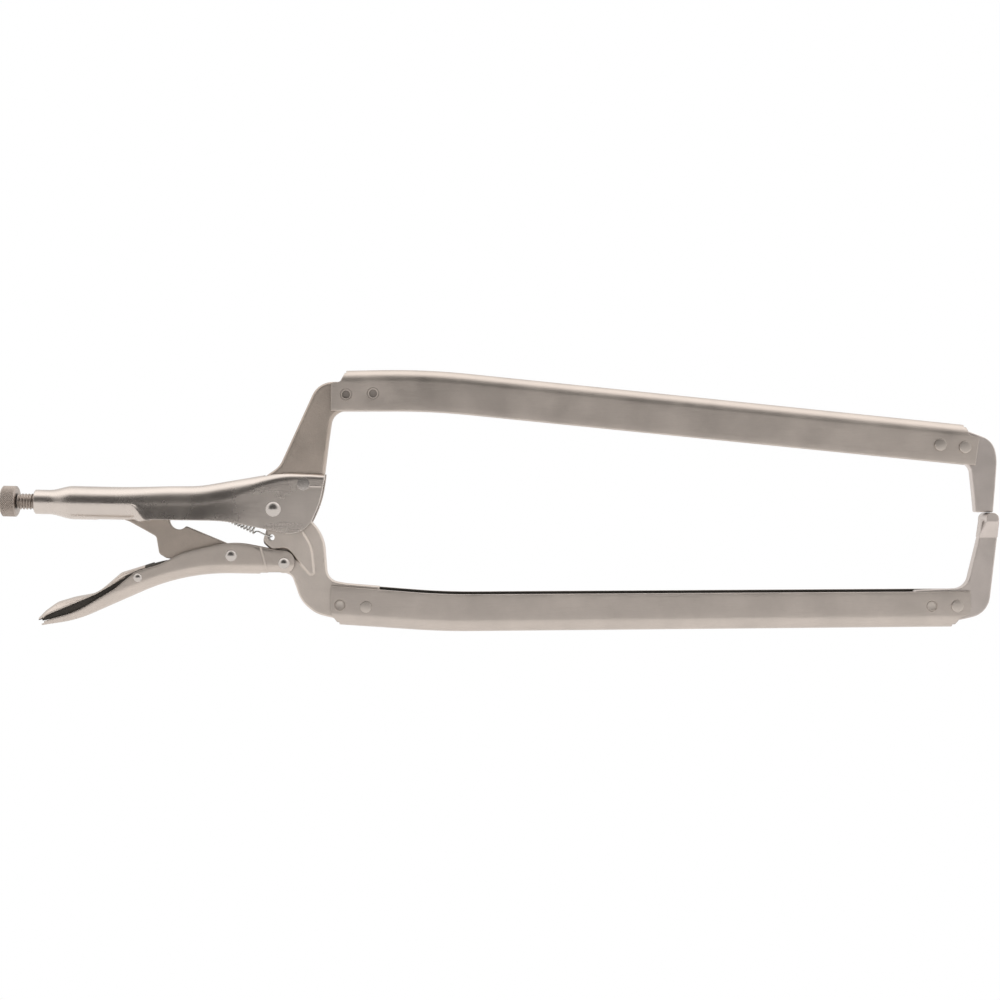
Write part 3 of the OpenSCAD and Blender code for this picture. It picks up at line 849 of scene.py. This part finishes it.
def release_lever():
    """A crowned thumb pad that runs forward as the web of a narrow channel inside the lever."""
    rear, front = -144.8, -60.0
    crown = open_path([
        (rear, -66.8, 0), (-140.4, -62.3, 6), (-133, -56.9, 14), (-122, -53.7, 20), (-108, -51.1, 14),
        (-94, -38.9, 6), (-82, -35.2, 10), (-72, -32, 10), (-66, -30.6, 3), (front, -31.2, 0)
    ])
    edge = open_path([
        (rear, -67.8, 0), (-142.4, -67.0, 2), (-138.6, -64.0, 8), (-120, -56.1, 40), (-108, -50.9, 40),
        (-90, -40.4, 8), (-68, -33.4, 6), (front, -33.4, 0)
    ])
    width = open_path([
        (rear, 1.2, 0), (-141.6, 5.4, 2), (-130, 6.8, 10), (-99, 6.8, 6), (-90, 4.6, 6), (front, 4.6, 0)
    ])
    sheet, samples = 1.3, 18
    rings = []
    for x in stations(rear, front, 1.2):
        top, rim, half_w = height_on(crown, x), height_on(edge, x), height_on(width, x)
        thin = min(sheet, 0.5 + (x - rear) * 0.2)
        over, under = [], []
        for k in range(samples + 1):
            share = 2 * k / samples - 1
            arch = math.cos(share * math.pi / 2) ** 0.7
            over.append(Vector((x, half_w * share, rim + (top - rim) * arch)))
            under.append(Vector((x, (half_w - thin * 0.4) * share, rim - thin * 0.8 + (top - rim) * arch)))
        rings.append(over + list(reversed(under)))
    made = new_object("release_lever", lambda work: loft(work, rings))
    flange = [
        (-142, -67.2, 0.3), (-139, -62.9, 4), (-133, -58.8, 6), (-121, -55.1, 20), (-108, -51.4, 12),
        (-94, -41.8, 8), (-82, -36.8, 6), (-60.4, -32.4, 0.5), (-61, -35.6, 1), (-76, -44, 3),
        (-92, -49.4, 10), (-118, -61.6, 40), (-136, -67.2, 6), (-141.6, -68.4, 0.4)
    ]
    for side in (-1, 1):
        carve(made, plate("flange", flange, 1.4, 0.2, y=side * 3.8), "UNION")
    link_gap = LINK_T / 2 + 0.3
    carve(made, block((-74, -link_gap, -45), (front + 1, link_gap, -20)))
    drill(made, [(RELEASE_PIVOT, 1.83)])
    # Painted shade: the faces between the lever's walls get the near-black finish.
    hand_over(made, "release_lever", painted_shade=between_walls)


# ---- Rivets --------------------------------------------------------------


def dome_profile(radius, height, grip):
    """A domed head from its crown to its edge, as (radius, distance from the mid-plane)."""
    ball = (radius ** 2 + height ** 2) / (2 * height)
    full = math.asin(radius / ball)
    steps = 14
    points = []
    for k in range(steps + 1):
        angle = full * k / steps
        points.append((ball * math.sin(angle), grip / 2 + height - ball * (1 - math.cos(angle))))
    lowest = points[-1][1]
    return points[:-1] + [(radius, lowest + 0.12), (radius, lowest - 0.02)]


def flat_profile(radius, height, grip):
    """A flat head with a soft edge."""
    top = grip / 2 + height
    soft = min(0.5, height * 0.7)
    return [(0, top), (radius - soft, top), (radius - soft * 0.3, top - soft * 0.3), (radius, top - soft),
            (radius, grip / 2 - 0.02)]


def cup_profile(radius, hollow, height, depth, grip):
    """A tubular rivet's rolled rim round a hollow."""
    top = grip / 2 + height
    return [(0, top - depth - 0.2), (hollow - 0.4, top - depth), (hollow, top - depth + 0.5),
            (hollow + 0.1, top - 0.3), (hollow + 0.35, top), (radius - 0.25, top - 0.02),
            (radius, top - 0.3), (radius, grip / 2 - 0.02)]


def rivets(node, places, profiles, shank, finish=None):
    """One node's rivets: each has the same head on both sides of the clamp."""
    def fill(work):
        for place, profile in zip(places, profiles):
            front = [(radius, -distance) for radius, distance in profile]
            back = list(reversed(profile))
            neck = [(shank, front[-1][1]), (shank, back[0][1])]
            turned(work, front + neck + back, place)
    hand_over(new_object(node, fill), node, finish=finish)


def all_rivets():
    rivets("main_pivot_rivet", [MAIN_PIVOT], [dome_profile(4.65, 1.7, HANDLE_W)], 3.18)
    rivets("fixed_jaw_rivet", [JAW_RIVET], [flat_profile(3.9, 0.35, HANDLE_W)], 2.58)
    rivets("lever_pivot_rivet", [LEVER_PIVOT], [dome_profile(3.4, 1.4, EAR_W)], 2.48)
    rivets("link_rivet", [LINK_PIVOT], [dome_profile(3.5, 1.3, LEVER_W)], 2.48)
    rivets("release_rivet", [RELEASE_PIVOT], [dome_profile(2.65, 1.1, LEVER_W)], 1.78)
    satin = {"shank": 2.38, "finish": "satin_rivet"}
    darker = {"shank": 2.38, "finish": "dark_rivet"}
    rivets("fixed_arm_root_rivets", FIXED_ROOT,
           [cup_profile(3.8, 3.0, 0.45, 1.7, ARM_W), cup_profile(3.7, 3.2, 0.3, 1.1, ARM_W)], **darker)
    rivets("fixed_arm_tip_rivets", FIXED_TIP, [flat_profile(3.7, 1.0, ARM_W)] * 2, **satin)
    rivets("movable_arm_root_rivets", MOVABLE_ROOT,
           [cup_profile(3.7, 3.0, 0.3, 0.5, ARM_W), flat_profile(3.6, 0.6, ARM_W)], **satin)
    rivets("movable_arm_tip_rivets", MOVABLE_TIP,
           [cup_profile(3.7, 3.0, 0.3, 0.5, ARM_W), flat_profile(3.7, 0.6, ARM_W)], **satin)


# ---- Adjusting screw -----------------------------------------------------


def tilted(made):
    """Turns a piece drawn along a level axis onto the screw's own axis."""
    pin = Vector((AXIS_AT[0], 0, AXIS_AT[1]))
    turn = Matrix.Rotation(AXIS_TILT, 4, "Y")
    made.data.transform(Matrix.Translation(pin) @ turn @ Matrix.Translation(-pin))
    return made


def axis_point(x, radius, turn):
    """A point around the screw's axis, before it is tilted, at a share of a whole turn."""
    angle = 2 * math.pi * turn
    return x, radius * math.cos(angle), AXIS_AT[1] + radius * math.sin(angle)


def circle(x, radius, count):
    return [axis_point(x, radius, i / count) for i in range(count)]


def adjusting_screw():
    """A threaded rod with a plain stub inside the knob. Its rows run along the thread's helix."""
    segments, rows_per_turn = 48, 12
    start, end = KNOB_FRONT + 0.6, THREAD_END_X
    flank = [(0.0, 0.0), (0.14, 0.12), (0.36, 0.9), (0.44, 1.0)]
    flanks = flank + [(1 - share, rise) for share, rise in reversed(flank)]

    def height(share):
        for (low, first), (high, second) in zip(flanks, flanks[1:]):
            if low <= share <= high:
                return mix(first, second, (share - low) / (high - low))
        return 0.0

    stub_r, tip_r = 3.3, 3.6
    rings = [circle(x, stub_r, segments) for x in (KNOB_FRONT - 7.5, start - 0.05)]
    count = int((end - start) / PITCH + 1) * rows_per_turn
    for row in range(count + 1):
        crest = mix(THREAD_CORE_R, THREAD_R, height(row / rows_per_turn % 1))
        ring = []
        for i in range(segments):
            place = start + (row / rows_per_turn - i / segments) * PITCH
            fade = min(max(end - place, 0) / 1.2, 1)
            run_out = min(crest, mix(tip_r, THREAD_CORE_R, fade))
            radius = crest if start < place < end else run_out
            ring.append(axis_point(min(max(place, start), end), radius, i / segments))
        rings.append(ring)
    rings.append(circle(end, tip_r, segments))
    made = tilted(new_object("adjusting_screw", lambda work: loft(work, rings)))
    hand_over(made, "adjusting_screw", 50)


def screw_knob():
    """A knob with a diamond knurl: pyramids between two families of crossing grooves."""
    around, rows = 80, 12
    groove, smooth_end, chamfer = 0.42, 0.9, 0.8
    rear, front = KNOB_FRONT - KNOB_L, KNOB_FRONT
    low, high = rear + smooth_end, front - smooth_end
    plain_r = KNOB_R - groove
    bore_r = 3.36
    face_r = plain_r - chamfer + 0.1

    rear_end = [
        (rear + 0.3, 0.001), (rear, 5.5), (rear, face_r), (rear + 0.25, face_r + 0.45),
        (low - 0.25, KNOB_R - 0.15)
    ]
    front_end = [
        (high + 0.25, KNOB_R - 0.15), (front - 0.25, face_r + 0.45), (front, face_r),
        (front, bore_r), (front - 8.1, bore_r), (front - 8.1, 0.001)
    ]
    rings = [circle(x, radius, around) for x, radius in rear_end]
    for row in range(rows + 1):
        x = mix(low, high, row / rows)
        peaks = [KNOB_R if (row + i) % 2 else plain_r for i in range(around)]
        rings.append([axis_point(x, radius, i / around) for i, radius in enumerate(peaks)])
    rings += [circle(x, radius, around) for x, radius in front_end]

    def fill(work):
        made_rows = [[work.verts.new(point) for point in ring] for ring in rings]
        for index, (row, following) in enumerate(zip(made_rows, made_rows[1:])):
            first = index - len(rear_end)
            for i in range(around):
                j = (i + 1) % around
                if 0 <= first < rows:
                    if (first + i) % 2:
                        work.faces.new((row[j], following[i], row[i]))
                        work.faces.new((row[j], following[j], following[i]))
                    else:
                        work.faces.new((row[i], row[j], following[j]))
                        work.faces.new((row[i], following[j], following[i]))
                else:
                    work.faces.new((row[i], row[j], following[j], following[i]))

    hand_over(tilted(new_object("screw_knob", fill)), "screw_knob", 12)


# ---- Spring --------------------------------------------------------------


def jaw_spring():
    """A coil with a hook at each end, one through the handle's tab and one through the jaw's eye."""
    start = Vector((SPRING_ANCHOR[0], 0, SPRING_ANCHOR[1]))
    end = Vector((SPRING_EYE[0], 0, SPRING_EYE[1]))
    length = (end - start).length
    ahead = (end - start).normalized()
    side = Vector((0, 1, 0))
    up = ahead.cross(side) * -1
    first, last = 5.0, 42.0
    pitch = 2.05
    per_turn = 18
    radius = COIL_R - WIRE_R
    turns = (last - first) / pitch
    coil = []
    for k in range(int(turns * per_turn) + 1):
        turn = 2 * math.pi * k / per_turn
        coil.append(start + ahead * (first + pitch * k / per_turn)
                    + (up * math.cos(turn) + side * math.sin(turn)) * radius)

    def at(distance, y, rise=0.0):
        return start + ahead * distance + side * y + up * rise

    rear_hook = [at(0.9, 2.6), at(0.5, 1.6), at(0.3, 0), at(0.5, -1.7), at(1.6, -2.5), at(3.4, -1.6, 0.9)]
    jaw_side = -(BOSS_T / 2 + WIRE_R + 0.1)
    front_hook = [
        at(last + 1.0, -1.2, 1.0), at(last + 2.6, -3.6, 0.2), at(last + 4.8, jaw_side, 0),
        at(length - 1.9, jaw_side, 0), at(length - 1.0, jaw_side + 0.5), at(length - 0.8, jaw_side + 1.6),
        at(length - 0.8, -jaw_side - 1.4), at(length - 1.2, -jaw_side)
    ]
    made = wire("jaw_spring", rear_hook, coil, front_hook)
    piece = hand_over(made, "jaw_spring", 60, ride=False)
    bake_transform(piece)


def eased(points, steps=6):
    """A smooth path through points (Catmull-Rom)."""
    path = []
    padded = [points[0]] + points + [points[-1]]
    for a, b, c, d in zip(padded, padded[1:], padded[2:], padded[3:]):
        for k in range(steps):
            t = k / steps
            path.append(0.5 * (2 * b + (c - a) * t + (2 * a - 5 * b + 4 * c - d) * t * t
                               + (3 * b - a - 3 * c + d) * t ** 3))
    path.append(points[-1])
    return path


def wire(name, before, coil, after):
    """A round wire along a path of hooks and coils."""
    lead = eased(before + coil[:3])
    tail = eased(coil[-3:] + after)
    path = lead + coil[3:-3] + tail
    curve = bpy.data.curves.new(name, "CURVE")
    curve.dimensions = "3D"
    curve.bevel_depth = WIRE_R
    curve.bevel_resolution = 2
    curve.use_fill_caps = True
    spline = curve.splines.new("POLY")
    spline.points.add(len(path) - 1)
    for point, place in zip(spline.points, path):
        point.co = (*place, 1)
    drawn = bpy.data.objects.new(name, curve)
    bpy.context.scene.collection.objects.link(drawn)
    graph = bpy.context.evaluated_depsgraph_get()
    mesh = bpy.data.meshes.new_from_object(drawn.evaluated_get(graph))
    bpy.data.objects.remove(drawn)
    made = bpy.data.objects.new(name, mesh)
    bpy.context.scene.collection.objects.link(made)
    return made


fixed_arm()
movable_arm()
fixed_jaw()
movable_jaw()
fixed_tip()
movable_tip()
upper_handle()
lever()
link()
release_lever()
all_rivets()
adjusting_screw()
screw_knob()
jaw_spring()

for node, piece in frame["nodes"].items():
    if piece.data and not piece.hide_render:
        piece.data.materials.clear()
        piece.data.materials.append(MATERIALS[SLOT_OF[node]])


# ---- Light, floor and camera --------------------------------------------


def studio():
    """A white room, brighter above, with a dark patch behind the viewer and a faint one opposite."""
    world = bpy.data.worlds.new("studio")
    bpy.context.scene.world = world
    world.use_nodes = True
    tree = world.node_tree
    tree.nodes.clear()
    where = tree.nodes.new("ShaderNodeTexCoord").outputs["Generated"]
    parts = tree.nodes.new("ShaderNodeSeparateXYZ")
    facing = tree.nodes.new("ShaderNodeMath")
    facing.operation = "ABSOLUTE"
    folded = tree.nodes.new("ShaderNodeCombineXYZ")
    nearness = tree.nodes.new("ShaderNodeVectorMath")
    nearness.operation = "DOT_PRODUCT"
    nearness.inputs[1].default_value = (-0.134, 0.952, 0.276)
    link_nodes(
        tree,
        (where, parts.inputs["Vector"]),
        (parts.outputs["X"], folded.inputs["X"]),
        (parts.outputs["Y"], facing.inputs[0]),
        (facing.outputs["Value"], folded.inputs["Y"]),
        (parts.outputs["Z"], folded.inputs["Z"]),
        (folded.outputs["Vector"], nearness.inputs[0]),
    )
    above = span(tree, parts.outputs["Z"], 0.35, 0.8, 1.1, 1.66)
    patch = span(tree, nearness.outputs["Value"], 0.62, 0.88, 0.0, 1.0)
    behind = span(tree, parts.outputs["Y"], 0.0, 0.5, 0.0, 0.7)
    strength = between(tree, behind, between(tree, patch, above, 0.12), 1.2)
    lit = tree.nodes.new("ShaderNodeBackground")
    lit.inputs["Color"].default_value = (1, 0.985, 0.97, 1)
    seen = tree.nodes.new("ShaderNodeBackground")
    seen.inputs["Color"].default_value = (1, 1, 1, 1)
    choice = tree.nodes.new("ShaderNodeMixShader")
    eye = tree.nodes.new("ShaderNodeLightPath")
    out = tree.nodes.new("ShaderNodeOutputWorld")
    link_nodes(
        tree,
        (strength, lit.inputs["Strength"]),
        (eye.outputs["Is Camera Ray"], choice.inputs["Fac"]),
        (lit.outputs["Background"], choice.inputs[1]),
        (seen.outputs["Background"], choice.inputs[2]),
        (choice.outputs["Shader"], out.inputs["Surface"]),
    )


def floor():
    """A plain pale floor, low enough to clear the fully opened jaw."""
    below = -0.36
    half = 12.0
    mesh = bpy.data.meshes.new("floor")
    corners = [(-half, -half), (half, -half), (half, half), (-half, half)]
    mesh.from_pydata([(x, y, below) for x, y in corners], [], [(0, 1, 2, 3)])
    made = bpy.data.objects.new("floor", mesh)
    bpy.context.scene.collection.objects.link(made)
    material = bpy.data.materials.new("floor_paint")
    material.use_nodes = True
    tree = material.node_tree
    shader = tree.nodes["Principled BSDF"]
    shader.inputs["Base Color"].default_value = (0.93, 0.93, 0.93, 1)
    shader.inputs["Roughness"].default_value = 0.9
    seen = tree.nodes.new("ShaderNodeEmission")
    choice = tree.nodes.new("ShaderNodeMixShader")
    eye = tree.nodes.new("ShaderNodeLightPath")
    link_nodes(
        tree,
        (eye.outputs["Is Camera Ray"], choice.inputs["Fac"]),
        (shader.outputs["BSDF"], choice.inputs[1]),
        (seen.outputs["Emission"], choice.inputs[2]),
        (choice.outputs["Shader"], tree.nodes["Material Output"].inputs["Surface"]),
    )
    mesh.materials.append(material)


def camera():
    """Square on to the clamp's side, with its whole length filling the frame."""
    data = bpy.data.cameras.new("camera")
    made = bpy.data.objects.new("camera", data)
    bpy.context.scene.collection.objects.link(made)
    view_x, view_z = 0.1384, 0.0055      # the view's centre, from the main pivot
    field = 0.611                        # what the frame takes in at the arms' faces
    from_faces = 1.15
    data.sensor_width = 36
    data.lens = data.sensor_width * from_faces / field
    made.location = (PIVOT.x + view_x, -from_faces - ARM_W / 2000, PIVOT.z + view_z)
    made.rotation_euler = (math.pi / 2, 0, 0)
    data.clip_start = 0.01
    data.clip_end = 100
    bpy.context.scene.camera = made


studio()
floor()
camera()
bpy.context.scene.view_settings.view_transform = "Standard"
